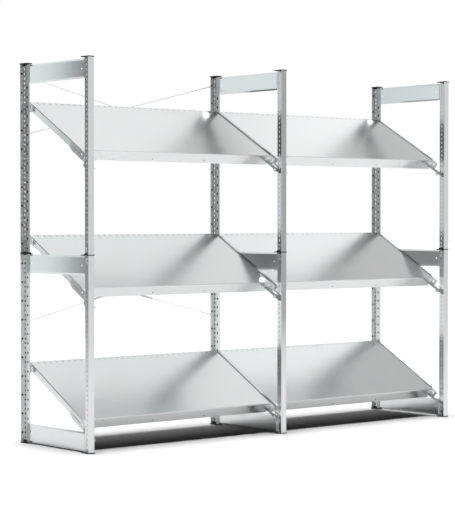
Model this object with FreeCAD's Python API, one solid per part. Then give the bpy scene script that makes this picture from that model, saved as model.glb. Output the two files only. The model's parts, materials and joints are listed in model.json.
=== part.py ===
"""Slanted shelving unit: three perforated post frames carry six tilted trays.

Millimetres. +X runs to the right along the width, +Y to the rear and +Z up.
The model is built with the front faces of the posts at Y = 0, and then moved so
that the origin is under the middle of the whole unit.
"""
import FreeCAD, Part
import math
import os

V = FreeCAD.Vector

# Overall layout
tray_width = 1290.0
tray_side_gap = 8.9
frame_depth = 616.0
post_half_length = 1000.0
end_plate_thickness = 5.0
joint_plate_thickness = 5.0

# T-section of the posts
flange_width = 37.2
flange_thickness = 4.0
flange_edge_radius = 1.5
web_depth = 57.4
web_thickness = 4.2
web_offset = 3.8

# Slots in the webs
slot_pitch = 25.0
slot_height = 13.0
slot_width = 5.0
slot_setback = 15.5
slot_end_strip = 3.0

# Dark plates under, between and on the posts
plate_overhang = 1.6
collar_wall = 2.2
collar_short_depth = 31.0
collar_far_depth = 11.0
foot_collar_height = 12.0
cap_collar_height = 8.0
joint_collar_height = 6.0
collar_gap = 0.3

# Splice at mid height
strap_width = 22.0
strap_length = 94.0
strap_thickness = 3.0
front_screw_setback = 40.0
front_strap_setback = 35.0
screw_head_diameter = 12.5
screw_head_height = 3.5
screw_head_sides = 8
screw_inner_offset = 18.0
screw_outer_offset = 37.0

# Cross ties of the frames
tie_height = 100.0
tie_sheet = 1.5
tie_stand_off = 2.5
tie_edge_height = 9.0
tie_step_gap = 3.0
tie_step_length = 12.0
tie_front_overlap = 10.0
tie_rear_overlap = 26.0
tie_hole_diameter = 9.0
tie_hole_setback = 78.0
tie_bottom_gap = 0.5
tie_middle_gap = 0.5
tie_top_drop = 5.0

# Trays
tray_tilt = 29.25
tray_front_setback = 97.0
tray_rear_setback = 37.4
tray_sheet = 1.5
tray_flange = 35.0
tray_return = 12.0
tray_fold_radius = 4.0
tray_corner_relief = 5.0
fascia_height = 57.0
fascia_corner_strip = 10.0
fascia_top_cut = 50.0
fascia_bottom_cut = 12.0
fascia_hole_width = 6.0
fascia_hole_drop = 41.0
fascia_hole_share = 0.364
divider_slot_width = 4.0
divider_slot_length = 20.0
divider_slot_setback = 5.0
divider_slot_pitch = 40.0
divider_slot_margin = 45.0
rear_pin_setback = 43.5
rear_pin_drop = 12.0
rear_second_hole = 13.5

# Slots left free under the bottom front brackets, from the joint up to the middle
# rear hooks, and over the top front brackets
bottom_front_slot_count = 2
middle_rear_slot_count = 2
top_front_slot_count = 22

# Front brackets, in the tilted frame of the tray
bracket_sheet = 2.0
side_clearance = 0.3
bracket_rear_reach = 105.0
bracket_step_start = 99.0
bracket_step_end = 74.0
bracket_depth = 45.0
bracket_top_drop = 1.0
nose_reach = 37.0
nose_radius = 12.0
neck_reach = 28.0
neck_depth = 5.0
lip_reach_in = 21.0
finger_rise = 6.0
finger_fall = 5.0
finger_past_slot = 6.0
disc_reach = 61.0
disc_drop = 53.0
disc_radius = 14.5
cheek_slot_rear = 70.0
cheek_slot_front = 7.0
cheek_slot_drop = 20.0
cheek_slot_height = 8.0
cheek_hole_reach = 10.0
cheek_hole_diameter = 9.0

# Tongues that hook into the web slots
tongue_height = 8.0
tongue_thickness = 2.0
tongue_side_gap = 0.5
tongue_nose = 3.5
tongue_past_web = 2.5
tongue_clearance = 0.3

# Rear hooks
hook_sheet = 2.0
hook_height = 34.0
hook_front_reach = 12.0
hook_rear_margin = 6.0
pin_diameter = 6.0
pin_play = 0.1
pin_past_flange = 3.0

# Diagonal braces behind the left bay
brace_rod_diameter = 4.5
brace_hole_offset = 9.0
brace_drop = 318.0
brace_eye_diameter = 16.0
brace_eye_thickness = 5.0
brace_plane_gap = 1.5
brace_bolt_width = 11.0
brace_bolt_head = 4.0
brace_spacer_width = 13.0
turnbuckle_width = 9.0
turnbuckle_length = 100.0
turnbuckle_play = 0.05
turnbuckle_rod_gap = 8.0
turnbuckle_sides = 6
falling_turnbuckle_share = 0.625
rising_turnbuckle_share = 0.375

# Length by which a cut passes the material
overrun = 1.0

lower_post_base = end_plate_thickness
joint_base = lower_post_base + post_half_length
upper_post_base = joint_base + joint_plate_thickness
cap_base = upper_post_base + post_half_length
web_left = web_offset - web_thickness / 2
web_right = web_offset + web_thickness / 2
tilt = math.radians(tray_tilt)
bay_pitch = tray_width + 2 * tray_side_gap + web_thickness
tray_length = (frame_depth - tray_front_setback - tray_rear_setback) / math.cos(tilt)
slots_per_half = int((post_half_length - slot_end_strip - slot_height / 2) / slot_pitch + 1 / 2)
frame_places = (("left", -bay_pitch), ("middle", 0.0), ("right", bay_pitch))
bay_places = (("left", -bay_pitch), ("right", 0.0))


def box(x0, x1, y0, y1, z0, z1):
    """Block between two corners."""
    return Part.makeBox(x1 - x0, y1 - y0, z1 - z0, V(x0, y0, z0))


def span(xa, xb, y0, y1, z0, z1):
    """Block between two planes of X given in either order."""
    return box(min(xa, xb), max(xa, xb), y0, y1, z0, z1)


def prism(points, along):
    """Straight extrusion of a closed outline of points."""
    wire = Part.makePolygon(points + [points[0]])
    return Part.Face(wire).extrude(along)


def fuse(shapes):
    """One clean solid of several that touch."""
    whole = shapes[0]
    for shape in shapes[1:]:
        whole = whole.fuse(shape)
    return whole.removeSplitter()


def edges_at_height(shape, height, along_x):
    """Level edges at a height that run along X, or else along Y."""
    found = []
    for edge in shape.Edges:
        bounds = edge.BoundBox
        level = abs(bounds.ZMin - height) < tray_sheet / 2 and abs(bounds.ZMax - height) < tray_sheet / 2
        if level and (bounds.XLength > bounds.YLength) == along_x:
            found.append(edge)
    return found


def slot_height_at(base, index):
    """Height of the centre of a web slot, counted from the bottom of its post half."""
    return base + slot_pitch / 2 + index * slot_pitch


def nearest_slot(height):
    """Height of the slot nearest to a height, in the half of the post that it lies in."""
    base = upper_post_base if height > upper_post_base else lower_post_base
    index = round((height - slot_height_at(base, 0)) / slot_pitch)
    return slot_height_at(base, min(max(index, 0), slots_per_half - 1))


def face_rear(shape):
    """Turn a front piece into its rear twin, with its web on the same side."""
    return shape.mirror(V(0, frame_depth / 2, 0), V(0, 1, 0))


def export(name, shape):
    """Write one node, moved so that the origin lies under the middle of the unit."""
    placed = shape.copy()
    placed.translate(V(0, -middle_depth, 0))
    placed.exportStep("parts/" + name + ".step")
    print(name, len(placed.Solids), placed.isValid(), round(placed.Volume / 1000, 2))


def post_half():
    """Half a front post: the flange with eased edges, the web and its column of slots."""
    half = flange_width / 2
    flange = box(-half, half, 0, flange_thickness, 0, post_half_length)
    front_edges = []
    for edge in flange.Edges:
        middle = edge.CenterOfMass
        if abs(middle.y) < flange_edge_radius / 2 and abs(middle.x) > half - flange_edge_radius / 2:
            if edge.Length > half * 2:
                front_edges.append(edge)
    flange = flange.makeFillet(flange_edge_radius, front_edges)
    web = box(web_left, web_right, flange_thickness, web_depth, 0, post_half_length)
    slots = []
    for index in range(slots_per_half):
        centre = slot_height_at(0, index)
        slots.append(box(web_left - overrun, web_right + overrun,
                         slot_setback - slot_width / 2, slot_setback + slot_width / 2,
                         centre - slot_height / 2, centre + slot_height / 2))
    return flange.fuse(web).removeSplitter().cut(Part.makeCompound(slots))


def web_cheeks(height, near_depth):
    """Low walls of a plate on both sides of the web: the near one starts at the flange."""
    near = web_left - collar_gap
    far = web_right + collar_gap
    near_start = flange_thickness + collar_gap
    return [box(near - collar_wall, near, near_start, near_depth, 0, height),
            box(far, far + collar_wall, web_depth - collar_far_depth, web_depth, 0, height)]


def flat_plate(height):
    """Flat plate across the profile, with its top at Z = 0."""
    half = flange_width / 2 + plate_overhang
    return box(-half, half, -plate_overhang, web_depth + collar_gap + collar_wall, -height, 0)


def end_plate(height, cheek_height):
    """Flat plate at the end of a post, with low walls beside the web."""
    return fuse([flat_plate(height)] + web_cheeks(cheek_height, collar_short_depth))


def joint_plate(strap_y):
    """Plate between the two halves of a post, which also wraps the upper half's free edge."""
    reach = web_depth + collar_gap
    upper = web_cheeks(joint_collar_height, reach)
    wrap = box(web_left - collar_gap - collar_wall, web_right + collar_gap + collar_wall,
               reach, reach + collar_wall, 0, joint_collar_height)
    lower = []
    for wall in web_cheeks(joint_collar_height, collar_short_depth):
        wall.translate(V(0, 0, -joint_plate_thickness - joint_collar_height))
        lower.append(wall)
    far_tip = box(web_right + collar_gap, web_right + collar_gap + collar_wall,
                  web_depth, reach, 0, joint_collar_height)
    passage = box(web_right - collar_gap, web_right + strap_thickness + collar_gap,
                  strap_y - strap_width / 2 - collar_gap, strap_y + strap_width / 2 + collar_gap,
                  -joint_plate_thickness - overrun, overrun)
    whole = fuse([flat_plate(joint_plate_thickness)] + upper + [far_tip, wrap] + lower)
    return whole.cut(passage)


def splice_strap(centre_y):
    """Flat strap on the far side of the web, across the joint."""
    middle = joint_base + joint_plate_thickness / 2
    return box(web_right, web_right + strap_thickness,
               centre_y - strap_width / 2, centre_y + strap_width / 2,
               middle - strap_length / 2, middle + strap_length / 2)


def splice_screws(centre_y):
    """Four screw heads on the near side of the web, two above and two below the joint."""
    middle = joint_base + joint_plate_thickness / 2
    heads = []
    for offset in (-screw_outer_offset, -screw_inner_offset, screw_inner_offset, screw_outer_offset):
        points = []
        for side in range(screw_head_sides):
            angle = 2 * math.pi * side / screw_head_sides
            points.append(V(web_left, centre_y + screw_head_diameter / 2 * math.cos(angle),
                            middle + offset + screw_head_diameter / 2 * math.sin(angle)))
        heads.append(prism(points, V(-screw_head_height, 0, 0)))
    return heads


def tie_section(stand_off, base, y):
    """Outline across a tie: a face that stands off the webs, with its long edges turned back."""
    top = base + tie_height
    outer = web_left - tie_sheet
    section = [(outer, base), (outer - stand_off, base + tie_edge_height),
               (outer - stand_off, top - tie_edge_height), (outer, top), (web_left, top),
               (web_left - stand_off, top - tie_edge_height),
               (web_left - stand_off, base + tie_edge_height), (web_left, base)]
    points = []
    for x, z in section:
        points.append(V(x, y, z))
    return Part.makePolygon(points + [points[0]])


def tie(base):
    """Cross tie: flat ends on the near side of the webs, and a stepped-out face between the posts."""
    top = base + tie_height
    outer = web_left - tie_sheet
    front = web_depth - tie_front_overlap
    rear = frame_depth - web_depth + tie_rear_overlap
    front_step = web_depth + tie_step_gap
    rear_step = frame_depth - web_depth - tie_step_gap
    face_start = front_step + tie_step_length
    face_end = rear_step - tie_step_length
    middle = Part.Face(tie_section(tie_stand_off, base, face_start)).extrude(V(0, face_end - face_start, 0))
    parts = [middle]
    for flat_y, face_y in ((front_step, face_start), (rear_step, face_end)):
        parts.append(Part.makeLoft([tie_section(0, base, flat_y), tie_section(tie_stand_off, base, face_y)],
                                   True, True))
    parts.append(box(outer, web_left, front, front_step, base, top))
    parts.append(box(outer, web_left, rear_step, rear, base, top))
    solid = fuse(parts)
    for y in (tie_hole_setback, frame_depth - tie_hole_setback):
        hole = Part.makeCylinder(tie_hole_diameter / 2, tie_stand_off + tie_sheet + 2 * overrun,
                                 V(outer - tie_stand_off - overrun, y, base + tie_height / 2), V(1, 0, 0))
        solid = solid.cut(hole)
    return solid


def tilt_up(shape, fold_height):
    """Tilt a piece that is drawn flat, with its fold on the X axis, and lift it to its level."""
    tilted = shape.copy()
    tilted.rotate(V(0, 0, 0), V(1, 0, 0), tray_tilt)
    tilted.translate(V(0, tray_front_setback, fold_height))
    return tilted


def channel(x0, x1, y0, y1, depth, along_x):
    """Sheet with two opposite edges bent down, open at its other two ends."""
    block = box(x0, x1, y0, y1, -depth, 0)
    block = block.makeFillet(tray_fold_radius, edges_at_height(block, 0, along_x))
    if along_x:
        hollow = box(x0 - overrun, x1 + overrun, y0 + tray_sheet, y1 - tray_sheet,
                     -depth - overrun, -tray_sheet)
    else:
        hollow = box(x0 + tray_sheet, x1 - tray_sheet, y0 - overrun, y1 + overrun,
                     -depth - overrun, -tray_sheet)
    hollow = hollow.makeFillet(tray_fold_radius - tray_sheet,
                               edges_at_height(hollow, -tray_sheet, along_x))
    return block.cut(hollow)


def tray():
    """Tray drawn flat: top at Z = 0, front fold on the X axis, rear at Y = tray_length.

    The four bent edges end short of the corners, as in folded sheet.
    """
    relief = tray_corner_relief
    low = -tray_flange
    return_end = tray_return + relief
    sides = channel(0, tray_width, relief, tray_length - relief, tray_flange, False)
    ends = channel(relief, tray_width - relief, 0, tray_length, fascia_height, True)
    ends = ends.cut(box(relief - overrun, tray_width - relief + overrun, tray_length / 2,
                        tray_length + overrun, -fascia_height - overrun, low))
    returns = [box(0, tray_return, relief, tray_length - return_end, low, low + tray_sheet),
               box(tray_width - tray_return, tray_width, relief, tray_length - return_end,
                   low, low + tray_sheet),
               box(return_end, tray_width - return_end, tray_length - tray_return, tray_length,
                   low, low + tray_sheet)]
    shell = fuse([sides, ends] + returns)
    cuts = []
    for edge, way in ((0, 1), (tray_width, -1)):
        corner = [V(edge - way * overrun, -overrun, -fascia_corner_strip),
                  V(edge + way * fascia_top_cut, -overrun, -fascia_corner_strip),
                  V(edge + way * fascia_bottom_cut, -overrun, -fascia_height),
                  V(edge + way * fascia_bottom_cut, -overrun, -fascia_height - overrun),
                  V(edge - way * overrun, -overrun, -fascia_height - overrun)]
        cuts.append(prism(corner, V(0, overrun + tray_sheet + overrun, 0)))
        hole_x = edge + way * fascia_hole_share * tray_width
        cuts.append(box(hole_x - fascia_hole_width / 2, hole_x + fascia_hole_width / 2,
                        -overrun, tray_sheet + overrun, -fascia_hole_drop - fascia_hole_width / 2,
                        fascia_hole_width / 2 - fascia_hole_drop))
        for setback in (rear_pin_setback, rear_pin_setback + rear_second_hole):
            start = V(edge - way * overrun, tray_length - setback, -rear_pin_drop)
            cuts.append(Part.makeCylinder(pin_diameter / 2 + pin_play, tray_return + overrun,
                                          start, V(way, 0, 0)))
    slot_steps = round((tray_width - 2 * divider_slot_margin) / divider_slot_pitch)
    first_slot = (tray_width - slot_steps * divider_slot_pitch) / 2
    slot_end = tray_length - divider_slot_setback
    for step in range(slot_steps + 1):
        centre = first_slot + step * divider_slot_pitch
        cuts.append(box(centre - divider_slot_width / 2, centre + divider_slot_width / 2,
                        slot_end - divider_slot_length, slot_end, -tray_sheet - overrun, overrun))
    return shell.cut(Part.makeCompound(cuts))


def fold_height_of(slot_height_above_floor):
    """Height of the front fold of a tray whose bracket tongue hangs in the given slot."""
    tongue_middle = slot_height_above_floor - slot_height / 2 + tongue_clearance + tongue_height / 2
    return tongue_middle + tongue_reach() * math.sin(tilt) + bracket_depth * math.cos(tilt)


def tongue_reach():
    """Distance along the slope from the fold to the column of slots, at the bracket's lower edge."""
    run = tray_front_setback + bracket_depth * math.sin(tilt) - slot_setback
    return run / math.cos(tilt)


def bracket():
    """Front bracket drawn flat for a tray side at X = 0, with the post on the -X side.

    Distances along the slope are measured forward from the fold, and depths down from the top.
    """
    outer = -side_clearance - bracket_sheet
    inner = -side_clearance

    def at(reach, drop):
        return V(outer, -reach, -drop)

    def line(a, b):
        return Part.LineSegment(at(*a), at(*b)).toShape()

    def arc(a, b, c):
        return Part.Arc(at(*a), at(*b), at(*c)).toShape()

    tip = tongue_reach() + finger_past_slot
    low = bracket_depth
    finger_top = low - finger_rise
    finger_low = low + finger_fall
    step_drop = tray_flange + side_clearance + bracket_sheet
    nose_centre = (nose_reach - nose_radius, bracket_top_drop + nose_radius)
    nose_mid = (nose_centre[0] + nose_radius * math.cos(math.pi / 4),
                nose_centre[1] - nose_radius * math.sin(math.pi / 4))
    disc_half = math.sqrt(disc_radius ** 2 - (disc_drop - finger_low) ** 2)
    disc_rear = math.sqrt(disc_radius ** 2 - (disc_drop - low) ** 2)
    points = [(-bracket_rear_reach, bracket_top_drop),
              (nose_centre[0], bracket_top_drop)]
    edges = [line(*points),
             arc(points[1], nose_mid, (nose_reach, nose_centre[1])),
             line((nose_reach, nose_centre[1]), (neck_reach, low - neck_depth)),
             line((neck_reach, low - neck_depth), (disc_reach, finger_top)),
             line((disc_reach, finger_top), (tip, finger_top)),
             line((tip, finger_top), (tip, finger_low)),
             line((tip, finger_low), (disc_reach + disc_half, finger_low)),
             arc((disc_reach + disc_half, finger_low), (disc_reach, disc_drop + disc_radius),
                 (disc_reach - disc_rear, low)),
             line((disc_reach - disc_rear, low), (-bracket_step_end, low)),
             line((-bracket_step_end, low), (-bracket_step_start, step_drop)),
             line((-bracket_step_start, step_drop), (-bracket_rear_reach, step_drop)),
             line((-bracket_rear_reach, step_drop), points[0])]
    cheek = Part.Face(Part.Wire(edges)).extrude(V(bracket_sheet, 0, 0))

    slot_low = cheek_slot_drop + cheek_slot_height / 2
    slot = box(outer - overrun, inner + overrun, cheek_slot_front, cheek_slot_rear,
               -slot_low, cheek_slot_height - slot_low)
    slot_corners = []
    for edge in slot.Edges:
        if edge.BoundBox.XLength > bracket_sheet:
            slot_corners.append(edge)
    slot = slot.makeFillet(cheek_slot_height / 2 - side_clearance, slot_corners)
    hole = Part.makeCylinder(cheek_hole_diameter / 2, bracket_sheet + 2 * overrun,
                             V(outer - overrun, -cheek_hole_reach, -cheek_slot_drop), V(1, 0, 0))
    cheek = cheek.cut(slot).cut(hole)

    lip_line = [(-bracket_rear_reach, step_drop), (-bracket_step_start, step_drop),
                (-bracket_step_end, low), (tip, low), (tip, low - bracket_sheet),
                (-bracket_step_end, low - bracket_sheet),
                (-bracket_step_start, step_drop - bracket_sheet),
                (-bracket_rear_reach, step_drop - bracket_sheet)]
    lip_points = []
    for reach, drop in lip_line:
        lip_points.append(V(outer, -reach, -drop))
    lip = prism(lip_points, V(-outer + lip_reach_in, 0, 0))
    return fuse([cheek, lip])


def tongue(root, web_far, slot_y, slot_z):
    """Hook through a web slot, from a plate at X = root to behind the far face of the web.

    It keeps to its own half of the slot, because a twin may come in from the other side.
    """
    way = 1 if web_far > root else -1
    low = slot_z - slot_height / 2 + tongue_clearance
    high = low + tongue_height
    past = web_far + way * tongue_clearance
    end = past + way * tongue_past_web
    side_a = slot_y + way * tongue_side_gap / 2
    side_b = side_a + way * tongue_thickness
    points = [V(root, side_a, low), V(past, side_a, low), V(past, side_a, low - tongue_nose),
              V(end, side_a, low - tongue_nose), V(end, side_a, high), V(root, side_a, high)]
    return prism(points, V(0, side_b - side_a, 0))


def bracket_pair(bay_x, fold_height, slot_z):
    """The two front brackets of one tray, hooked into the front posts."""
    near_web = bay_x + web_right
    far_web = bay_x + bay_pitch + web_left
    left_side = near_web + tray_side_gap
    right_side = far_web - tray_side_gap
    left = tilt_up(bracket(), fold_height)
    right = left.mirror(V(0, 0, 0), V(1, 0, 0))
    left.translate(V(left_side, 0, 0))
    right.translate(V(right_side, 0, 0))
    left_root = left_side - side_clearance
    right_root = right_side + side_clearance
    left_tongue = tongue(left_root, bay_x + web_left, slot_setback, slot_z)
    right_tongue = tongue(right_root, bay_x + bay_pitch + web_right, slot_setback, slot_z)
    return [fuse([left, left_tongue]), fuse([right, right_tongue])]


def rear_hook(web_face, way, side, pin_y, pin_z, slot_z):
    """Plate on the web of a rear post with a peg into its slot and a pin into the tray's flange."""
    slot_y = frame_depth - slot_setback
    outer = web_face + way * hook_sheet
    plate = span(web_face, outer, pin_y - hook_front_reach, slot_y + hook_rear_margin,
                 slot_z - hook_height / 2, slot_z + hook_height / 2)
    peg_end = web_face - way * (web_thickness - tongue_clearance) / 2
    peg_low = slot_z - slot_height / 2 + tongue_clearance
    peg = span(peg_end, outer, slot_y - slot_width / 2 + tongue_clearance,
               slot_y + slot_width / 2 - tongue_clearance, peg_low, peg_low + tongue_height)
    pin_end = side + way * (tray_sheet + pin_past_flange)
    pin = Part.makeCylinder(pin_diameter / 2, abs(pin_end - web_face),
                            V(web_face, pin_y, pin_z), V(way, 0, 0))
    return fuse([plate, peg, pin])


def pin_rise():
    """Height of a tray's rear pins above its front fold."""
    return (tray_length - rear_pin_setback) * math.sin(tilt) - rear_pin_drop * math.cos(tilt)


def rear_hooks(bay_x, fold_height):
    """The two rear hooks of one tray, each in the slot nearest to its pin."""
    along = tray_length - rear_pin_setback
    pin_y = tray_front_setback + along * math.cos(tilt) + rear_pin_drop * math.sin(tilt)
    pin_z = fold_height + pin_rise()
    slot_z = nearest_slot(pin_z)
    near_web = bay_x + web_right
    far_web = bay_x + bay_pitch + web_left
    return [rear_hook(near_web, 1, near_web + tray_side_gap, pin_y, pin_z, slot_z),
            rear_hook(far_web, -1, far_web - tray_side_gap, pin_y, pin_z, slot_z)]


def regular_prism(centre, axis, width, sides, length):
    """Bar with a regular outline, given across its flats, from a point along an axis."""
    radius = width / 2 / math.cos(math.pi / sides)
    points = []
    for side in range(sides):
        angle = 2 * math.pi * (side + 0.5) / sides
        points.append(V(radius * math.cos(angle), radius * math.sin(angle), 0))
    bar = prism(points, V(0, 0, length))
    bar.Placement = FreeCAD.Placement(centre, FreeCAD.Rotation(V(0, 0, 1), axis))
    return bar


def brace(start, end, plane, near_share):
    """One diagonal: two threaded halves with flat eyes, and the turnbuckle that joins them."""
    radius = brace_rod_diameter / 2
    middle = frame_depth + plane + brace_eye_thickness / 2
    a = V(start[0], middle, start[1])
    b = V(end[0], middle, end[1])
    direction = (b - a).normalize()
    length = (b - a).Length
    centre = a + direction * (near_share * length)
    inner_gap = turnbuckle_rod_gap / 2
    rods = []
    for anchor, way in ((a, 1), (b, -1)):
        rod_length = (centre - anchor).Length - inner_gap
        rod = Part.makeCylinder(radius, rod_length, anchor, direction * way)
        eye = Part.makeCylinder(brace_eye_diameter / 2, brace_eye_thickness,
                                V(anchor.x, frame_depth + plane, anchor.z), V(0, 1, 0))
        rods.append(fuse([rod, eye]))
    begin = centre - direction * (turnbuckle_length / 2)
    sleeve = regular_prism(begin, direction, turnbuckle_width, turnbuckle_sides, turnbuckle_length)
    bore = Part.makeCylinder(radius + turnbuckle_play, turnbuckle_length + 2 * overrun,
                             begin - direction * overrun, direction)
    return rods, sleeve.cut(bore), centre, direction


def anchor(place, plane):
    """Bolt head on the eye of a rod, and the spacer under an eye that stands off the flange."""
    outer = frame_depth + plane + brace_eye_thickness
    solids = [regular_prism(V(place[0], outer, place[1]), V(0, 1, 0),
                            brace_bolt_width, turnbuckle_sides, brace_bolt_head)]
    if plane > 0:
        solids.append(regular_prism(V(place[0], frame_depth, place[1]), V(0, 1, 0),
                                    brace_spacer_width, turnbuckle_sides, plane))
    return solids


far_plane = brace_eye_thickness + brace_plane_gap
turnbuckle_corner = turnbuckle_width / 2 / math.cos(math.pi / turnbuckle_sides)
rear_reach = far_plane + max(brace_eye_thickness + brace_bolt_head,
                             brace_eye_thickness / 2 + turnbuckle_corner)
middle_depth = (frame_depth + rear_reach - plate_overhang) / 2


def build_frames():
    """Posts, plates, splices and ties of the three frames."""
    post = post_half()
    foot = end_plate(end_plate_thickness, foot_collar_height)
    cap = end_plate(end_plate_thickness, cap_collar_height).mirror(V(0, 0, 0), V(0, 0, 1))
    front_joint = joint_plate(front_strap_setback)
    rear_joint = joint_plate(slot_setback)
    splice_places = ((front_strap_setback, front_screw_setback),
                     (frame_depth - slot_setback, frame_depth - slot_setback))
    straps = []
    screws = []
    for frame, x in frame_places:
        for side, joint in (("front", front_joint), ("rear", rear_joint)):
            for piece, name, z in ((post, "post_lower", lower_post_base),
                                   (post, "post_upper", upper_post_base),
                                   (foot, "foot", lower_post_base),
                                   (cap, "cap", cap_base),
                                   (joint, "joint_plate", upper_post_base)):
                shape = face_rear(piece) if side == "rear" else piece.copy()
                shape.translate(V(x, 0, z))
                export("_".join((name, frame, side)), shape)
        for strap_y, screw_y in splice_places:
            strap = splice_strap(strap_y)
            strap.translate(V(x, 0, 0))
            straps.append(strap)
            for head in splice_screws(screw_y):
                head.translate(V(x, 0, 0))
                screws.append(head)
        tie_bases = (("bottom", lower_post_base + tie_bottom_gap),
                     ("middle", joint_base - tie_height - tie_middle_gap),
                     ("top", cap_base - tie_height - tie_top_drop))
        for level, base in tie_bases:
            shape = tie(base)
            shape.translate(V(x, 0, 0))
            export("_".join(("tie", frame, level)), shape)
    export("splice_straps", Part.makeCompound(straps))
    export("splice_screws", Part.makeCompound(screws))


def build_shelves():
    """Trays with their brackets and hooks."""
    flat_tray = tray()
    middle_rear = slot_height_at(upper_post_base, middle_rear_slot_count)
    levels = (("bottom", slot_height_at(lower_post_base, bottom_front_slot_count)),
              ("middle", nearest_slot(middle_rear - pin_rise() - fold_height_of(0))),
              ("top", slot_height_at(upper_post_base, slots_per_half - 1 - top_front_slot_count)))
    hooks = []
    for bay, x in bay_places:
        for level, front_slot in levels:
            fold_height = fold_height_of(front_slot)
            shape = tilt_up(flat_tray, fold_height)
            shape.translate(V(x + web_right + tray_side_gap, 0, 0))
            export("_".join(("tray", bay, level)), shape)
            brackets = bracket_pair(x, fold_height, front_slot)
            export("_".join(("front_brackets", bay, level)), Part.makeCompound(brackets))
            hooks.extend(rear_hooks(x, fold_height))
            print("fold of", bay, level, round(fold_height, 2))
    export("rear_hooks", Part.makeCompound(hooks))


def build_braces():
    """Two crosses of rods behind the left bay."""
    left_x = -bay_pitch + brace_hole_offset
    right_x = -brace_hole_offset
    tie_middles = (("lower", joint_base - tie_middle_gap - tie_height / 2),
                   ("upper", cap_base - tie_top_drop - tie_height / 2))
    rods = []
    bolts = []
    for cross, high in tie_middles:
        low = high - brace_drop
        diagonals = (("falling", (left_x, high), (right_x, low), 0.0, falling_turnbuckle_share),
                     ("rising", (left_x, low), (right_x, high), far_plane, rising_turnbuckle_share))
        for name, start, end, plane, share in diagonals:
            halves, sleeve, centre, direction = brace(start, end, plane, share)
            rods.extend(halves)
            bolts.extend(anchor(start, plane) + anchor(end, plane))
            export("_".join(("turnbuckle", cross, name)), sleeve)
            print("axis", cross, name, [round(c, 3) for c in (centre - V(0, middle_depth, 0))],
                  [round(c, 6) for c in direction])
    export("brace_rods", Part.makeCompound(rods))
    export("brace_anchors", Part.makeCompound(bolts))


def main():
    os.makedirs("parts", exist_ok=True)
    build_frames()
    build_shelves()
    build_braces()
    print("middle depth", middle_depth)


main()
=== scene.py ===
"""Looks of the slanted shelving unit: galvanised steel posts, ties and trays, and dark plates.

Metres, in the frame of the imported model: +X to the right, +Y to the rear, +Z up.
"""
import json
import math

import bmesh
import bpy
from mathutils import Matrix, Vector


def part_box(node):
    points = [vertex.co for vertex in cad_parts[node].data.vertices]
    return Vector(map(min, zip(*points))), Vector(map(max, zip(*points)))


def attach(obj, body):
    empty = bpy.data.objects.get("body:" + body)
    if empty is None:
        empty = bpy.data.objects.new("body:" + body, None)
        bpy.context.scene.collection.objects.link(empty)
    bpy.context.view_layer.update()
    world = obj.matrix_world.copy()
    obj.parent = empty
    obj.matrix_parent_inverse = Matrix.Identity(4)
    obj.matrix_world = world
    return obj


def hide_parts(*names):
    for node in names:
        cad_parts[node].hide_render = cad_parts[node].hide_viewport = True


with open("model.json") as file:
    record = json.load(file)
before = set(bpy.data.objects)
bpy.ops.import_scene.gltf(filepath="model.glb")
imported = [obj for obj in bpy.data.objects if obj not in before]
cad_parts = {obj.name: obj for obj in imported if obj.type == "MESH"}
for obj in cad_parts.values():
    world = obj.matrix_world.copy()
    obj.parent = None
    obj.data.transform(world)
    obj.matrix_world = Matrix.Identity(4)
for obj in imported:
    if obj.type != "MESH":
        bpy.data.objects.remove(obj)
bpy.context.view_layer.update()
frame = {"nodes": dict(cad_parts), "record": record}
nodes = frame["nodes"]

# Camera, as fitted to the straight edges of the photograph
CAMERA_PLACE = (-6.6033, -7.6303, 1.1929)
CAMERA_PITCH = -1.205
CAMERA_YAW = 40.255
CAMERA_LENS = 125.21
CAMERA_SENSOR = 36.0

# Perforation of the posts
HALF_LENGTH = 1.0
SLOT_PITCH = 0.025
SLOT_HEIGHT = 0.013
SLOT_WIDTH = 0.005
SLOT_SETBACK = 0.0155
ROUND_DIAMETER = 0.0118
GROOVE_DEPTH = 0.0018
GROOVE_WIDTH = 0.0155
SECOND_SETBACK = 0.040
SECOND_DIAMETER = 0.0125
SECOND_PITCH = 0.050
SECOND_DEPTH = 0.0028
FLANGE_HOLE_DIAMETER = 0.0115
FLANGE_HOLE_OFFSET = 0.009
FLANGE_HOLE_START = 0.050
FLANGE_HOLE_PITCH = 0.100
FLANGE_HOLE_DEPTH = 0.0026
FLANGE_THICKNESS = 0.004
WEB_THICKNESS = 0.0042
WEB_OFFSET = 0.0038
EDGE_RADIUS = 0.0015
OVERRUN = 0.001
ROUND_SIDES = 16
BLIND_SIDES = 20
FACING = 0.9

# Ties and trays
TIE_SHEET = 0.0015
TIE_EDGE_HEIGHT = 0.009
TIE_STEP = 0.0152
# Near-black strip under the left frame's bottom tie: painted shadow
SHADOW_STRIP_HEIGHT = 0.0052
SHADOW_STRIP_EDGE = 0.0008
# Thin dark sheet on each tie's rear end: painted shade
END_SHADE_SHEET = 0.0003
END_SHADE_LENGTH = 0.0285
TRAY_FOLD_Y = -0.21795
TRAY_SLOPE = math.radians(29.25)
TRAY_FOLDS = {"bottom": 0.16252, "middle": 0.83752, "top": 1.54252}
# Near-black strip behind each tray's rear slots: painted shadow
SLOT_SHADOW_START = 0.520
SLOT_SHADOW_END = 0.5485
SLOT_SHADOW_DROP = 0.007
SLOT_SHADOW_SHEET = 0.0008
SLOT_SHADOW_INSET = 0.024
# Low strip in dark steel along each tray's right edge: painted shade of the gap between trays
GAP_SHADE_START = 0.008
GAP_SHADE_END = 0.540
GAP_SHADE_HEIGHT = 0.0042
GAP_SHADE_SHEET = 0.0012
TRAY_SHEET = 0.0012
# Near-black squares behind each fascia's holes: painted shade
HOLE_SHADE_SHARE = 0.364
HOLE_SHADE_DROP = 0.041
HOLE_SHADE_WIDTH = 0.0095
HOLE_SHADE_THICKNESS = 0.002

# Faces whose normal lies this near to an axis stay flat
SQUARE_NORMAL = 0.99995

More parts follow.
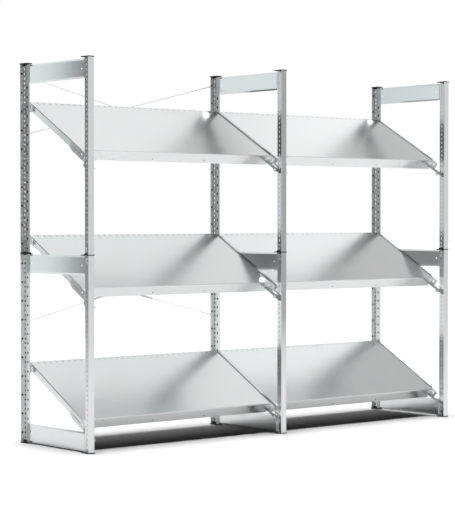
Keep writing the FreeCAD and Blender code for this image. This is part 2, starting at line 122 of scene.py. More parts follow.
# Screw heads: sides, and rings by share of the radius and of the height
SCREW_SIDES = 20
SCREW_SMOOTH_ANGLE = 50.0
MERGE_DISTANCE = 0.00001
SCREW_RINGS = ((1.0, 0.0), (1.0, 0.25), (0.94, 0.52), (0.80, 0.76), (0.56, 0.93), (0.32, 1.0), (0.28, 0.70))

# Light: a soft lamp overhead and a weak one from behind, given by name, strength, spread and tilt, and what
# the metal reflects
LAMPS = (("overhead", 2.95, 16.0, 0.0), ("behind", 0.50, 50.0, -30.0))
FLOOR_SEEN = 1.05
FLOOR_LIT = 0.90
FLOOR_BOUNCE = 0.02
FLOOR_FADE = (2.5, 14.0)
SKY_DIFFUSE = 0.005
SKY_BASE = 0.42
SKY_LOBES = (((-0.65, 0.76, 0), 0.3, 0.95, -0.22), ((0.65, -0.76, 0), 0.2, 0.9, 0.36),
             ((0.65, 0.38, 0.66), 0.3, 0.95, 0.15), ((-0.65, 0.40, 0.65), 0.7, 0.95, -0.18))
SCREEN = (-2.67, 6.0, 1.8, 3.4)
SCREEN_STOPS = ((-2.67, 1.0), (-1.5, 0.93), (0.0, 0.8), (6.0, 0.8))
SCREEN_TINT = (0.94, 1.0, 1.0)
CEILING = (-0.8, 6.0, -1.0, 5.0, 4.2)
CEILING_STOPS = ((-0.8, 0.9), (1.2, 0.95), (2.6, 0.94), (3.4, 1.10), (5.2, 1.20), (6.0, 0.9))
CARD_OFFSET = 0.0128
CARD_REAR = 0.33
CARDS = (("middle", ((0.0, 0.86), (1.5, 0.80), (1.95, 0.58), (2.9, 0.72))),
         ("right", ((0.0, 0.50), (1.5, 0.58), (1.95, 0.56), (2.9, 0.72))))
SPOTS = (((-0.0602, 0.2572, 1.8459), 0.031, 3.6), ((1.2600, 0.2580, 1.8365), 0.027, 3.2),
         ((-0.0289, -0.1795, 0.8770), 0.022, 6.0))
SPOT_ASIDE = (0.646, -0.763, 0.0)
FLAG = ((1.97, -2.57, 0.0), 1.1, 0.35, 3.5, 0.45)
FLAG_ASIDE = (0.7633, 0.6456, 0)
FLOOR_SIZE = 60.0
CLIP_END = 200.0

# Grain of the materials: noise scale and detail, how far it changes the tone and roughness, and relief
NOISE_LOW, NOISE_HIGH = 0.3, 0.7
CLOUD_NOISE = (6.0, 4.0)
ROLLING_NOISE = (160.0, 3.0, (1.0, 6.0, 1.0))
PATCH_TINT = (0.965, 0.975, 0.985)
PATCH_ROUGHNESS = (0.93, 1.07)
SHEET_RELIEF = (0.02, 0.0005)
PLASTIC_NOISE = (900.0, 2.0)
PLASTIC_PATCH = 0.8
PLASTIC_RELIEF = (0.15, 0.0003)

FRAMES = ("left", "middle", "right")
BAYS = ("left", "right")
LEVELS = ("bottom", "middle", "top")


# Materials

def new_material(name):
    """Empty material with its shader, and the tools to add nodes to it."""
    material = bpy.data.materials.new(name)
    material.use_nodes = True
    tree = material.node_tree
    shader = tree.nodes["Principled BSDF"]
    return material, tree, shader


def add_noise(tree, scale, detail, stretch=(1.0, 1.0, 1.0)):
    """Noise over the piece's own coordinates, stretched along its axes."""
    place = tree.nodes.new("ShaderNodeTexCoord")
    mapping = tree.nodes.new("ShaderNodeMapping")
    mapping.inputs["Scale"].default_value = stretch
    noise = tree.nodes.new("ShaderNodeTexNoise")
    noise.inputs["Scale"].default_value = scale
    noise.inputs["Detail"].default_value = detail
    tree.links.new(place.outputs["Object"], mapping.inputs["Vector"])
    tree.links.new(mapping.outputs["Vector"], noise.inputs["Vector"])
    return noise


def map_range(tree, source, low, high):
    """Spread a noise value over low to high."""
    spread = tree.nodes.new("ShaderNodeMapRange")
    spread.inputs["From Min"].default_value = NOISE_LOW
    spread.inputs["From Max"].default_value = NOISE_HIGH
    spread.inputs["To Min"].default_value = low
    spread.inputs["To Max"].default_value = high
    tree.links.new(source, spread.inputs["Value"])
    return spread.outputs["Result"]


def galvanised(name, shade, roughness):
    """Zinc-coated sheet: faint cloudy patches, fine rolling grain and a soft reflection."""
    material, tree, shader = new_material(name)
    shader.inputs["Metallic"].default_value = 1.0
    clouds = add_noise(tree, *CLOUD_NOISE)
    grain = add_noise(tree, *ROLLING_NOISE)
    tint = tree.nodes.new("ShaderNodeMix")
    tint.data_type = "RGBA"
    tint.inputs[6].default_value = tuple(shade * part for part in PATCH_TINT) + (1,)
    tint.inputs[7].default_value = (shade, shade, shade, 1)
    tree.links.new(map_range(tree, clouds.outputs["Fac"], 0.0, 1.0), tint.inputs[0])
    tree.links.new(tint.outputs[2], shader.inputs["Base Color"])
    low, high = PATCH_ROUGHNESS
    tree.links.new(map_range(tree, clouds.outputs["Fac"], roughness * low, roughness * high),
                   shader.inputs["Roughness"])
    bump = tree.nodes.new("ShaderNodeBump")
    bump.inputs["Strength"].default_value, bump.inputs["Distance"].default_value = SHEET_RELIEF
    tree.links.new(grain.outputs["Fac"], bump.inputs["Height"])
    tree.links.new(bump.outputs["Normal"], shader.inputs["Normal"])
    return material


def moulded(name, colour, roughness):
    """Moulded plastic with a fine grain."""
    material, tree, shader = new_material(name)
    grain = add_noise(tree, *PLASTIC_NOISE)
    tint = tree.nodes.new("ShaderNodeMix")
    tint.data_type = "RGBA"
    tint.inputs[6].default_value = tuple(c * PLASTIC_PATCH for c in colour) + (1,)
    tint.inputs[7].default_value = tuple(colour) + (1,)
    tree.links.new(map_range(tree, grain.outputs["Fac"], 0.0, 1.0), tint.inputs[0])
    tree.links.new(tint.outputs[2], shader.inputs["Base Color"])
    shader.inputs["Roughness"].default_value = roughness
    bump = tree.nodes.new("ShaderNodeBump")
    bump.inputs["Strength"].default_value, bump.inputs["Distance"].default_value = PLASTIC_RELIEF
    tree.links.new(grain.outputs["Fac"], bump.inputs["Height"])
    tree.links.new(bump.outputs["Normal"], shader.inputs["Normal"])
    return material


# Painted light and shade: some steels are lit and shaded copies of one zinc, with tones fitted so that one
# surface looks lighter or darker from place to place as reflection makes it: painted shade and painted
# highlights on the webs, slots, holes and flanges of the posts, painted light on the hooks, and painted
# shadow in the dark strips and squares on the trays and ties
post_steel = galvanised("post_steel", 0.80, 0.17)
shaded_slot_steel = galvanised("shaded_slot_steel", 0.26, 0.50)
shade_steel = galvanised("shade_steel", 0.40, 0.30)
lit_low_web_steel = galvanised("lit_low_web_steel", 0.84, 0.30)
shaded_front_web_steel = galvanised("shaded_front_web_steel", 0.58, 0.17)
flange_steel = galvanised("flange_steel", 0.80, 0.50)
lit_slot_steel = galvanised("lit_slot_steel", 0.95, 0.50)
highlight_steel = galvanised("highlight_steel", 0.99, 0.17)
# Near-white for the rear hooks and the lower rear flange faces: painted light
lit_hook_and_flange_steel = galvanised("lit_hook_and_flange_steel", 0.97, 0.55)
# Near-black: painted shadow behind the tray slots and painted shade in the lower rear round holes
hem_steel = galvanised("hem_steel", 0.07, 0.55)
tray_steel = galvanised("tray_steel", 0.84, 0.25)
tie_steel = galvanised("tie_steel", 0.80, 0.18)
bracket_steel = galvanised("bracket_steel", 0.66, 0.20)
strap_steel = galvanised("strap_steel", 0.72, 0.30)
screw_steel = galvanised("screw_steel", 0.97, 0.46)
brace_steel = galvanised("brace_steel", 0.94, 0.45)
turnbuckle_steel = galvanised("turnbuckle_steel", 0.66, 0.32)
dark_plastic = moulded("dark_plastic", (0.018, 0.018, 0.019), 0.45)
# Near-black for shallow blind holes and for squares behind holes: painted shade
painted_recess_shade = moulded("painted_recess_shade", (0.012, 0.012, 0.013), 0.7)

SLOT_MATERIALS = {"post_steel": post_steel, "tray_sheet": tray_steel, "tie_sheet": tie_steel,
                  "bracket_sheet": bracket_steel, "strap_steel": strap_steel, "screw_steel": screw_steel,
                  "brace_steel": brace_steel, "turnbuckle_steel": turnbuckle_steel,
                  "dark_plastic": dark_plastic}


# Mesh tools

def shade(mesh, smooth_angle=35.0):
    """Smooth over shallow edges, but flat on the faces that lie square to the axes."""
    mesh.shade_smooth()
    mesh.set_sharp_from_angle(angle=math.radians(smooth_angle))
    for polygon in mesh.polygons:
        if max(abs(c) for c in polygon.normal) > SQUARE_NORMAL:
            polygon.use_smooth = False


def finish_mesh(name, bm, materials, smooth_angle=35.0):
    """Object from a bmesh, smooth over shallow edges."""
    bmesh.ops.recalc_face_normals(bm, faces=bm.faces)
    mesh = bpy.data.meshes.new(name)
    bm.to_mesh(mesh)
    bm.free()
    for material in materials:
        mesh.materials.append(material)
    shade(mesh, smooth_angle)
    piece = bpy.data.objects.new(name, mesh)
    bpy.context.scene.collection.objects.link(piece)
    return piece


def add_prism(bm, outline, shift, material_index=0):
    """Closed prism of an outline of points, drawn along a shift."""
    shift = Vector(shift)
    low = [bm.verts.new(p) for p in outline]
    high = [bm.verts.new(Vector(p) + shift) for p in outline]
    faces = [bm.faces.new(low), bm.faces.new(list(reversed(high)))]
    count = len(outline)
    for i in range(count):
        j = (i + 1) % count
        faces.append(bm.faces.new((low[i], high[i], high[j], low[j])))
    for face in faces:
        face.material_index = material_index


def circle(centre, radius, first, second, sides=24):
    """Points of a circle in the plane of two unit vectors."""
    points = []
    for i in range(sides):
        angle = 2 * math.pi * i / sides
        points.append(Vector(centre) + Vector(first) * radius * math.cos(angle)
                      + Vector(second) * radius * math.sin(angle))
    return points


def oblong(centre, width, height, first, second, sides=6):
    """Points of a slot with round ends, long along the second vector."""
    points = []
    radius = width / 2
    reach = height / 2 - radius
    for end, start in ((1, 0.0), (-1, math.pi)):
        for i in range(sides + 1):
            angle = start + math.pi * i / sides
            points.append(Vector(centre) + Vector(first) * radius * math.cos(angle)
                          + Vector(second) * (radius * math.sin(angle) + end * reach))
    return points


def rounded_outline(corners, steps=4):
    """Outline of (x, y, radius) corners, each rounded by an arc."""
    points = []
    count = len(corners)
    for i, (x, y, radius) in enumerate(corners):
        here = Vector((x, y))
        if radius <= 0:
            points.append(here)
            continue
        before = (Vector(corners[i - 1][:2]) - here).normalized()
        after = (Vector(corners[(i + 1) % count][:2]) - here).normalized()
        half = before.angle(after) / 2
        reach = radius / math.tan(half)
        centre = here + (before + after).normalized() * (radius / math.sin(half))
        start = here + before * reach - centre
        turn = start.angle_signed(here + after * reach - centre)
        for k in range(steps + 1):
            angle = -turn * k / steps
            points.append(centre + Vector((start.x * math.cos(angle) - start.y * math.sin(angle),
                                           start.x * math.sin(angle) + start.y * math.cos(angle))))
    return points


def cut_away(piece, cutters):
    """Cut a mesh by the solids of another, and keep the result as plain mesh."""
    modifier = piece.modifiers.new("cut", "BOOLEAN")
    modifier.operation = "DIFFERENCE"
    modifier.solver = "EXACT"
    modifier.material_mode = "TRANSFER"
    modifier.object = cutters
    graph = bpy.context.evaluated_depsgraph_get()
    mesh = bpy.data.meshes.new_from_object(piece.evaluated_get(graph))
    piece.modifiers.clear()
    old = piece.data
    piece.data = mesh
    bpy.data.meshes.remove(old)
    bpy.data.objects.remove(cutters)
    shade(mesh)
    return piece


X = (1, 0, 0)
Y = (0, 1, 0)
Z = (0, 0, 1)


# Posts

# Post materials: painted shade on webs and slot walls, painted light on their lit copies, painted highlight
# in the rear round holes
POST_STEELS = [post_steel, painted_recess_shade, shade_steel, shaded_slot_steel, flange_steel, highlight_steel]
HOLE_STEELS = [post_steel, painted_recess_shade, shaded_slot_steel, highlight_steel]
PAINTED_WEB_FACE, PAINTED_SLOT_FACE, PAINTED_FLANGE_FACE, PAINTED_SEEN_FACE = 2, 3, 4, 5
PAINTED_RECESS_CUT, PAINTED_SLOT_CUT, HIGHLIGHT_CUT = 1, 2, 3


def post_profile(grooved):
    """Outline of a front post: flange, then web to the rear, from the flange's front face."""
    lo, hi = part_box("post_lower_middle_front")
    half = (hi.x - lo.x) / 2
    depth = hi.y - lo.y
    left = WEB_OFFSET - WEB_THICKNESS / 2
    right = WEB_OFFSET + WEB_THICKNESS / 2
    small = EDGE_RADIUS / 2
    groove = []
    if grooved:
        floor = right - GROOVE_DEPTH
        near, far = SLOT_SETBACK - GROOVE_WIDTH / 2, SLOT_SETBACK + GROOVE_WIDTH / 2
        groove = [(right, near, 0), (floor, near, small), (floor, far, small), (right, far, 0)]
    corners = [(-half, 0, EDGE_RADIUS), (half, 0, EDGE_RADIUS),
               (half, FLANGE_THICKNESS, small), (right, FLANGE_THICKNESS, small)] + groove + [
               (right, depth, EDGE_RADIUS), (left, depth, EDGE_RADIUS),
               (left, FLANGE_THICKNESS, small), (-half, FLANGE_THICKNESS, small)]
    return [Vector((p.x, p.y, 0)) for p in rounded_outline(corners)]


def post_piece(side):
    """One half of a post with its flange towards -Y, or turned with its flange to the rear."""
    bm = bmesh.new()
    add_prism(bm, post_profile(side == "rear"), (0, 0, HALF_LENGTH))
    post = finish_mesh("post_" + side, bm, POST_STEELS)
    left = WEB_OFFSET - WEB_THICKNESS / 2
    right = WEB_OFFSET + WEB_THICKNESS / 2
    # Web faces towards -X, and a rear flange's inner faces beside the web, take the painted light and shade
    for polygon in post.data.polygons:
        if polygon.normal.x < -FACING and polygon.center.y > FLANGE_THICKNESS:
            polygon.material_index = PAINTED_WEB_FACE
        elif side == "rear" and polygon.normal.y > FACING and polygon.center.y < 2 * FLANGE_THICKNESS:
            polygon.material_index = PAINTED_FLANGE_FACE if polygon.center.x < left else PAINTED_SEEN_FACE
    through = right - left + 2 * OVERRUN
    cutters = bmesh.new()
    # Slot walls take painted shade, or painted light in the lit copies; rear round holes take a painted
    # highlight
    for k in range(int(HALF_LENGTH / SLOT_PITCH)):
        middle = (k + 0.5) * SLOT_PITCH
        add_prism(cutters, oblong((left - OVERRUN, SLOT_SETBACK, middle), SLOT_WIDTH, SLOT_HEIGHT, Y, Z),
                  (through, 0, 0), PAINTED_SLOT_CUT)
        if k > 0:
            add_prism(cutters, circle((left - OVERRUN, SLOT_SETBACK, k * SLOT_PITCH),
                                      ROUND_DIAMETER / 2, Y, Z, ROUND_SIDES),
                      (through, 0, 0), HIGHLIGHT_CUT if side == "rear" else 0)
        if side == "front":
            start = (left - OVERRUN, SECOND_SETBACK, middle)
            add_prism(cutters, oblong(start, SLOT_WIDTH, SLOT_HEIGHT, Y, Z), (through, 0, 0), PAINTED_SLOT_CUT)
    # Shallow blind holes, painted near-black: painted shade standing for deep holes
    if side == "rear":
        for k in range(int(HALF_LENGTH / SECOND_PITCH)):
            height = (k + 0.5) * SECOND_PITCH
            add_prism(cutters, circle((left - OVERRUN, SECOND_SETBACK, height), SECOND_DIAMETER / 2, Y, Z,
                                      BLIND_SIDES), (OVERRUN + SECOND_DEPTH, 0, 0), PAINTED_RECESS_CUT)
    # The flange holes are shallow too, painted near-black: painted shade
    for k in range(int(HALF_LENGTH / FLANGE_HOLE_PITCH)):
        height = FLANGE_HOLE_START + k * FLANGE_HOLE_PITCH
        for x in (-FLANGE_HOLE_OFFSET, 2 * WEB_OFFSET + FLANGE_HOLE_OFFSET):
            add_prism(cutters, circle((x, FLANGE_THICKNESS + OVERRUN, height), FLANGE_HOLE_DIAMETER / 2, X, Z,
                                      BLIND_SIDES), (0, -OVERRUN - FLANGE_HOLE_DEPTH, 0), PAINTED_RECESS_CUT)
    holes = finish_mesh("post_holes", cutters, HOLE_STEELS)
    return cut_away(post, holes)


def place_posts():
    """Twelve post halves from four meshes: front and rear, lower and upper."""
    for side in ("front", "rear"):
        pattern = post_piece(side)
        if side == "rear":
            pattern.data.transform(Matrix.Scale(-1, 4, Vector(Y)))
            pattern.data.flip_normals()
        lower = pattern.data.copy()
        # Lit and shaded copies per half: painted light, shade and highlight on webs, slot walls, flanges and
        # holes
        if side == "rear":
            lower.materials[PAINTED_WEB_FACE] = lit_low_web_steel
            lower.materials[PAINTED_SLOT_FACE] = lit_slot_steel
            lower.materials[PAINTED_FLANGE_FACE] = lit_hook_and_flange_steel
            lower.materials[PAINTED_SEEN_FACE] = hem_steel
        else:
            lower.materials[PAINTED_WEB_FACE] = post_steel
            pattern.data.materials[PAINTED_WEB_FACE] = shaded_front_web_steel
            pattern.data.materials[PAINTED_SLOT_FACE] = lit_slot_steel
        for frame_name in FRAMES:
            for half, mesh in (("lower", lower), ("upper", pattern.data)):
                node = "_".join(("post", half, frame_name, side))
                lo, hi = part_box(node)
                piece = bpy.data.objects.new("perforated_" + node, mesh)
                bpy.context.scene.collection.objects.link(piece)
                piece.location = ((lo.x + hi.x) / 2, lo.y if side == "front" else hi.y, lo.z)
                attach(piece, "unit")
                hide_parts(node)
        bpy.data.objects.remove(pattern)


# Ties and trays

def close_tie_ends():
    """Carry each tie's raised face on to the front post's web, and paint shade on its rear end with a thin
    dark sheet.

    A thin dark strip of painted shadow lies under the left frame's bottom tie.
    """
    for frame_name in FRAMES:
        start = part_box("post_lower_%s_front" % frame_name)[1].y
        for level in LEVELS:
            node = "_".join(("tie", frame_name, level))
            lo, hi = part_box(node)
            outer = hi.x - TIE_SHEET
            bm = bmesh.new()
            add_prism(bm, [(outer, start, lo.z), (lo.x, start, lo.z + TIE_EDGE_HEIGHT),
                           (lo.x, start, hi.z - TIE_EDGE_HEIGHT), (outer, start, hi.z)], (0, TIE_STEP, 0))
            end = finish_mesh("end_" + node, bm, [tie_steel])
            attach(end, "unit")
            # Painted shade: a thin dark sheet over the tie's rear end
            bm = bmesh.new()
            shadow = outer - END_SHADE_SHEET
            add_prism(bm, [(outer, hi.y - END_SHADE_LENGTH, lo.z), (shadow, hi.y - END_SHADE_LENGTH, lo.z),
                           (shadow, hi.y - END_SHADE_LENGTH, hi.z), (outer, hi.y - END_SHADE_LENGTH, hi.z)],
                      (0, END_SHADE_LENGTH, 0))
            end_shade = finish_mesh("end_shade_" + node, bm, [shade_steel])
            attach(end_shade, "unit")
    # Painted shadow: a thin near-black strip under the left frame's bottom tie
    lo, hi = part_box("tie_left_bottom")
    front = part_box("foot_left_front")[1].y
    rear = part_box("foot_left_rear")[0].y
    bm = bmesh.new()
    add_prism(bm, [(lo.x, front, 0), (lo.x + SHADOW_STRIP_EDGE, front, SHADOW_STRIP_HEIGHT), (hi.x, front, SHADOW_STRIP_HEIGHT),
                   (hi.x, front, 0)], (0, rear - front, 0))
    shadow_strip = finish_mesh("shadow_strip_tie_left_bottom", bm, [dark_plastic])
    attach(shadow_strip, "unit")


def trim_trays():
    """Painted shade on each tray: a dark strip behind the slots, a low dark strip on its right edge, and dark
    squares behind its fascia holes.
    """
    along = Vector((0, math.cos(TRAY_SLOPE), math.sin(TRAY_SLOPE)))
    down = Vector((0, math.sin(TRAY_SLOPE), -math.cos(TRAY_SLOPE)))
    for bay in BAYS:
        for level in LEVELS:
            node = "_".join(("tray", bay, level))
            lo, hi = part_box(node)
            fold = Vector((0, TRAY_FOLD_Y, TRAY_FOLDS[level]))
            # Painted shadow: a near-black strip below the rear slots
            outline = []
            for reach, drop in ((SLOT_SHADOW_START, SLOT_SHADOW_DROP), (SLOT_SHADOW_END, SLOT_SHADOW_DROP), (SLOT_SHADOW_END, SLOT_SHADOW_DROP + SLOT_SHADOW_SHEET),
                                (SLOT_SHADOW_START, SLOT_SHADOW_DROP + SLOT_SHADOW_SHEET)):
                point = fold + along * reach + down * drop
                outline.append((lo.x + SLOT_SHADOW_INSET, point.y, point.z))
            bm = bmesh.new()
            add_prism(bm, outline, (hi.x - lo.x - 2 * SLOT_SHADOW_INSET, 0, 0))
            slot_shadow = finish_mesh("hem_" + node, bm, [hem_steel])
            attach(slot_shadow, "unit")
            # Painted shade: a low dark strip along the right edge, where the gap between trays lies
            outline = []
            for reach, rise in ((GAP_SHADE_START, 0), (GAP_SHADE_END, 0), (GAP_SHADE_END - GAP_SHADE_HEIGHT, GAP_SHADE_HEIGHT),
                                (GAP_SHADE_START + GAP_SHADE_HEIGHT, GAP_SHADE_HEIGHT)):
                point = fold + along * reach - down * rise
                outline.append((hi.x - GAP_SHADE_SHEET, point.y, point.z))
            bm = bmesh.new()
            add_prism(bm, outline, (GAP_SHADE_SHEET, 0, 0))
            gap_shade = finish_mesh("gap_shade_" + node, bm, [shade_steel])
            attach(gap_shade, "unit")
            # Painted shade: near-black squares just behind the fascia holes
            bm = bmesh.new()
            for x in (lo.x + HOLE_SHADE_SHARE * (hi.x - lo.x), hi.x - HOLE_SHADE_SHARE * (hi.x - lo.x)):
                outline = []
                for drop, back in ((HOLE_SHADE_DROP - HOLE_SHADE_WIDTH / 2, TRAY_SHEET),
                                   (HOLE_SHADE_DROP + HOLE_SHADE_WIDTH / 2, TRAY_SHEET),
                                   (HOLE_SHADE_DROP + HOLE_SHADE_WIDTH / 2, TRAY_SHEET + HOLE_SHADE_THICKNESS),
                                   (HOLE_SHADE_DROP - HOLE_SHADE_WIDTH / 2, TRAY_SHEET + HOLE_SHADE_THICKNESS)):
                    point = fold + down * drop + along * back
                    outline.append((x - HOLE_SHADE_WIDTH / 2, point.y, point.z))
                add_prism(bm, outline, (HOLE_SHADE_WIDTH, 0, 0))
            hole_shades = finish_mesh("hole_shades_" + node, bm, [painted_recess_shade])
            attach(hole_shades, "unit")


# Screw heads

def islands(mesh):
    """Vertex places of each separate solid of a mesh."""
    bm = bmesh.new()
    bm.from_mesh(mesh)
    bmesh.ops.remove_doubles(bm, verts=bm.verts, dist=MERGE_DISTANCE)
    seen = set()
    groups = []
    for vert in bm.verts:
        if vert in seen:
            continue
        group, queue = [], [vert]
        seen.add(vert)
        while queue:
            here = queue.pop()
            group.append(here.co.copy())
            for edge in here.link_edges:
                other = edge.other_vert(here)
                if other not in seen:
                    seen.add(other)
                    queue.append(other)
        groups.append(group)
    bm.free()
    return groups


def domed_screws():
    """Round heads of the splice screws, each a low dome on its rim with a round recess in its top."""
    bm = bmesh.new()
    for group in islands(nodes["splice_screws"].data):
        near = min(p.x for p in group)
        seat = max(p.x for p in group)
        radius = (max(p.y for p in group) - min(p.y for p in group)) / 2
        middle = Vector((0, (max(p.y for p in group) + min(p.y for p in group)) / 2,
                         (max(p.z for p in group) + min(p.z for p in group)) / 2))
        rings = []
        for share, rise in SCREW_RINGS:
            x = seat + (near - seat) * rise
            place = (x, middle.y, middle.z)
            rings.append([bm.verts.new(p) for p in circle(place, radius * share, Y, Z, SCREW_SIDES)])
        for first, second in zip(rings, rings[1:]):
            for i in range(SCREW_SIDES):
                j = (i + 1) % SCREW_SIDES
                bm.faces.new((first[i], first[j], second[j], second[i]))
        bm.faces.new(rings[-1])
        bm.faces.new(list(reversed(rings[0])))
    heads = finish_mesh("screw_heads", bm, [screw_steel], SCREW_SMOOTH_ANGLE)
    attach(heads, "unit")
    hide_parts("splice_screws")


# Plain carried-over pieces

def dress_nodes():
    """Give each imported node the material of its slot."""
    for part in frame["record"]["subparts"]:
        node = nodes[part["node"]]
        node.data.materials.clear()
        node.data.materials.append(SLOT_MATERIALS[part["material_slot"]])
    # The rear hooks take a near-white steel: painted light
    nodes["rear_hooks"].data.materials[0] = lit_hook_and_flange_steel


# Stage

def make_floor():
    """Pale floor, white to the camera and nearly so in reflections, which keeps the shadows."""
    bm = bmesh.new()
    corners = ((-1, -1), (1, -1), (1, 1), (-1, 1))
    bm.faces.new([bm.verts.new((x * FLOOR_SIZE, y * FLOOR_SIZE, 0)) for x, y in corners])
    material, tree, shader = new_material("floor")
    tree.nodes.remove(shader)
    output = tree.nodes["Material Output"]
    path = tree.nodes.new("ShaderNodeLightPath")
    seen = tree.nodes.new("ShaderNodeBsdfDiffuse")
    seen.inputs["Color"].default_value = (FLOOR_SEEN, FLOOR_SEEN, FLOOR_SEEN, 1)
    lit = tree.nodes.new("ShaderNodeBsdfDiffuse")
    bounce = tree.nodes.new("ShaderNodeMix")
    bounce.inputs[2].default_value = FLOOR_LIT
    bounce.inputs[3].default_value = FLOOR_BOUNCE
    tree.links.new(math_node(tree, "MINIMUM", path.outputs["Diffuse Depth"], 1.0), bounce.inputs[0])
    tree.links.new(bounce.outputs[0], lit.inputs["Color"])
    place = tree.nodes.new("ShaderNodeTexCoord")
    away = tree.nodes.new("ShaderNodeVectorMath")
    away.operation = "LENGTH"
    tree.links.new(place.outputs["Object"], away.inputs[0])
    fade = tree.nodes.new("ShaderNodeMapRange")
    fade.interpolation_type = "SMOOTHSTEP"
    fade.inputs["From Min"].default_value, fade.inputs["From Max"].default_value = FLOOR_FADE
    tree.links.new(away.outputs["Value"], fade.inputs["Value"])
    clear = tree.nodes.new("ShaderNodeBsdfTransparent")
    far = tree.nodes.new("ShaderNodeMixShader")
    tree.links.new(fade.outputs["Result"], far.inputs[0])
    tree.links.new(lit.outputs[0], far.inputs[1])
    tree.links.new(clear.outputs[0], far.inputs[2])
    mix = tree.nodes.new("ShaderNodeMixShader")
    tree.links.new(path.outputs["Is Camera Ray"], mix.inputs[0])
    tree.links.new(far.outputs[0], mix.inputs[1])
    tree.links.new(seen.outputs[0], mix.inputs[2])
    tree.links.new(mix.outputs[0], output.inputs["Surface"])
    floor = finish_mesh("floor", bm, [material])


def math_node(tree, operation, first, second=None):
    """Arithmetic node over values or sockets."""
    node = tree.nodes.new("ShaderNodeMath")
    node.operation = operation
    for socket, value in ((node.inputs[0], first), (node.inputs[1], second)):
        if value is None:
            continue
        if isinstance(value, (int, float)):
            socket.default_value = value
        else:
            tree.links.new(value, socket)
    return node.outputs[0]


def lobe(tree, direction, towards, start, full):
    """From 0 to 1 as a direction turns towards another, given by the cosines where it starts and is full."""
    dot = tree.nodes.new("ShaderNodeVectorMath")
    dot.operation = "DOT_PRODUCT"
    dot.inputs[1].default_value = Vector(towards).normalized()
    tree.links.new(direction, dot.inputs[0])
    ramp = tree.nodes.new("ShaderNodeMapRange")
    ramp.interpolation_type = "SMOOTHSTEP"
    ramp.inputs["From Min"].default_value = start
    ramp.inputs["From Max"].default_value = full
    tree.links.new(dot.outputs["Value"], ramp.inputs["Value"])
    return ramp.outputs["Result"]


def make_world():
    """White to the camera; for reflections a studio that is dark at the left rear and bright at the right."""
    world = bpy.data.worlds.new("studio")
    bpy.context.scene.world = world
    world.use_nodes = True
    tree = world.node_tree
    background = tree.nodes["Background"]
    place = tree.nodes.new("ShaderNodeTexCoord").outputs["Generated"]
    level = SKY_BASE
    for towards, start, full, change in SKY_LOBES:
        part = math_node(tree, "MULTIPLY", lobe(tree, place, towards, start, full), change)
        level = math_node(tree, "ADD", part, level)
    path = tree.nodes.new("ShaderNodeLightPath")
    soft = tree.nodes.new("ShaderNodeMix")
    tree.links.new(math_node(tree, "MINIMUM", path.outputs["Diffuse Depth"], 1.0), soft.inputs[0])
    tree.links.new(level, soft.inputs[2])
    soft.inputs[3].default_value = SKY_DIFFUSE
    pick = tree.nodes.new("ShaderNodeMix")
    tree.links.new(path.outputs["Is Camera Ray"], pick.inputs[0])
    tree.links.new(soft.outputs[0], pick.inputs[2])
    pick.inputs[3].default_value = 1.0
    tree.links.new(pick.outputs[0], background.inputs["Strength"])
    background.inputs["Color"].default_value = (1, 1, 1, 1)


def emission(tree):
    """Emission shader that gives no light by way of the floor."""
    glow = tree.nodes.new("ShaderNodeEmission")
    path = tree.nodes.new("ShaderNodeLightPath")
    depth = math_node(tree, "MINIMUM", path.outputs["Diffuse Depth"], 1.0)
    tree.links.new(math_node(tree, "SUBTRACT", 1.0, depth), glow.inputs["Strength"])
    return glow


def stage_reflection(panel):
    """Stage piece that shows only in reflections."""
    panel.visible_camera = False
    panel.visible_diffuse = False
    panel.visible_shadow = False
    panel.visible_transmission = False


def make_panel(name, corners, stops, axis, tint=(1.0, 1.0, 1.0)):
    """Glowing studio panel seen only in reflections, brighter and darker along one axis."""
    bm = bmesh.new()
    bm.faces.new([bm.verts.new(p) for p in corners])
    material, tree, shader = new_material(name)
    tree.nodes.remove(shader)
    glow = emission(tree)
    place = tree.nodes.new("ShaderNodeTexCoord")
    parts = tree.nodes.new("ShaderNodeSeparateXYZ")
    tree.links.new(place.outputs["Object"], parts.inputs[0])
    spread = tree.nodes.new("ShaderNodeMapRange")
    spread.inputs["From Min"].default_value = stops[0][0]
    spread.inputs["From Max"].default_value = stops[-1][0]
    tree.links.new(parts.outputs[axis], spread.inputs["Value"])
    ramp = tree.nodes.new("ShaderNodeValToRGB")
    ramp.color_ramp.interpolation = "EASE"
    width = stops[-1][0] - stops[0][0]
    while len(ramp.color_ramp.elements) < len(stops):
        ramp.color_ramp.elements.new(0.5)
    for element, (position, value) in zip(ramp.color_ramp.elements, stops):
        element.position = (position - stops[0][0]) / width
        element.color = tuple(value * part for part in tint) + (1,)
    tree.links.new(spread.outputs["Result"], ramp.inputs["Fac"])
    tree.links.new(ramp.outputs["Color"], glow.inputs["Color"])
    tree.links.new(glow.outputs[0], tree.nodes["Material Output"].inputs["Surface"])
    stage_reflection(finish_mesh(name, bm, [material]))


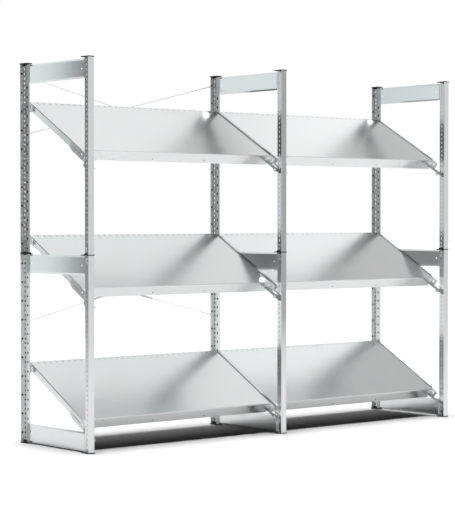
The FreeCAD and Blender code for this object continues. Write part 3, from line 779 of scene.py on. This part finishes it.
def make_spot(name, place, radius, level):
    """Small lamp seen only in reflections, brightest in its middle and clear at its rim."""
    bm = bmesh.new()
    bm.faces.new([bm.verts.new(p) for p in circle((0, 0, 0), radius, SPOT_ASIDE, Z)])
    material, tree, shader = new_material(name)
    tree.nodes.remove(shader)
    glow = emission(tree)
    glow.inputs["Color"].default_value = (level, level, level, 1)
    away = tree.nodes.new("ShaderNodeVectorMath")
    away.operation = "LENGTH"
    tree.links.new(tree.nodes.new("ShaderNodeTexCoord").outputs["Object"], away.inputs[0])
    fade = tree.nodes.new("ShaderNodeMapRange")
    fade.interpolation_type = "SMOOTHSTEP"
    fade.inputs["From Min"].default_value = 0.0
    fade.inputs["From Max"].default_value = radius
    tree.links.new(away.outputs["Value"], fade.inputs["Value"])
    behind = tree.nodes.new("ShaderNodeNewGeometry").outputs["Backfacing"]
    clear = tree.nodes.new("ShaderNodeBsdfTransparent")
    mix = tree.nodes.new("ShaderNodeMixShader")
    tree.links.new(math_node(tree, "MAXIMUM", fade.outputs["Result"], behind), mix.inputs[0])
    tree.links.new(glow.outputs[0], mix.inputs[1])
    tree.links.new(clear.outputs[0], mix.inputs[2])
    tree.links.new(mix.outputs[0], tree.nodes["Material Output"].inputs["Surface"])
    spot = finish_mesh(name, bm, [material])
    spot.location = place
    stage_reflection(spot)


def make_panels():
    """Screen behind, lit ceiling, grey flag at the front right, cards beside the posts, and small spots."""
    left, right, depth, top = SCREEN
    make_panel("screen", ((left, depth, 0), (right, depth, 0), (right, depth, top), (left, depth, top)),
               SCREEN_STOPS, "X", SCREEN_TINT)
    left, right, near, far, height = CEILING
    corners = ((left, near, height), (right, near, height), (right, far, height), (left, far, height))
    make_panel("ceiling", corners, CEILING_STOPS, "X")
    place, width, low, top, level = FLAG
    aside = Vector(FLAG_ASIDE) * (width / 2)
    middle = Vector(place)
    corners = [middle - aside + Vector((0, 0, low)), middle + aside + Vector((0, 0, low)),
               middle + aside + Vector((0, 0, top)), middle - aside + Vector((0, 0, top))]
    make_panel("flag", corners, ((low, level), (top, level)), "Z")
    for frame_name, stops in CARDS:
        lo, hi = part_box("post_upper_%s_front" % frame_name)
        x = (lo.x + hi.x) / 2 + CARD_OFFSET
        low, top = stops[0][0], stops[-1][0]
        corners = ((x, lo.y, low), (x, CARD_REAR, low), (x, CARD_REAR, top), (x, lo.y, top))
        make_panel("card_" + frame_name, corners, stops, "Z")
    for index, (place, radius, level) in enumerate(SPOTS):
        make_spot("spot_%d" % index, place, radius, level)


def make_lamps():
    """Soft lamps; the metal reflects the panels and the world instead of them."""
    for name, strength, spread, tilt in LAMPS:
        data = bpy.data.lights.new(name, "SUN")
        data.energy = strength
        data.angle = math.radians(spread)
        lamp = bpy.data.objects.new(name, data)
        lamp.rotation_euler = (math.radians(tilt), 0, 0)
        lamp.visible_glossy = False
        bpy.context.scene.collection.objects.link(lamp)


def make_camera():
    """Camera at the photograph's viewpoint."""
    data = bpy.data.cameras.new("camera")
    data.lens = CAMERA_LENS
    data.sensor_width = CAMERA_SENSOR
    data.clip_end = CLIP_END
    camera = bpy.data.objects.new("camera", data)
    bpy.context.scene.collection.objects.link(camera)
    camera.location = CAMERA_PLACE
    camera.rotation_euler = (math.radians(90 + CAMERA_PITCH), 0, math.radians(-CAMERA_YAW))
    bpy.context.scene.camera = camera


dress_nodes()
place_posts()
close_tie_ends()
trim_trays()
domed_screws()
make_floor()
make_world()
make_panels()
make_lamps()
make_camera()
bpy.context.scene.view_settings.view_transform = "Standard"
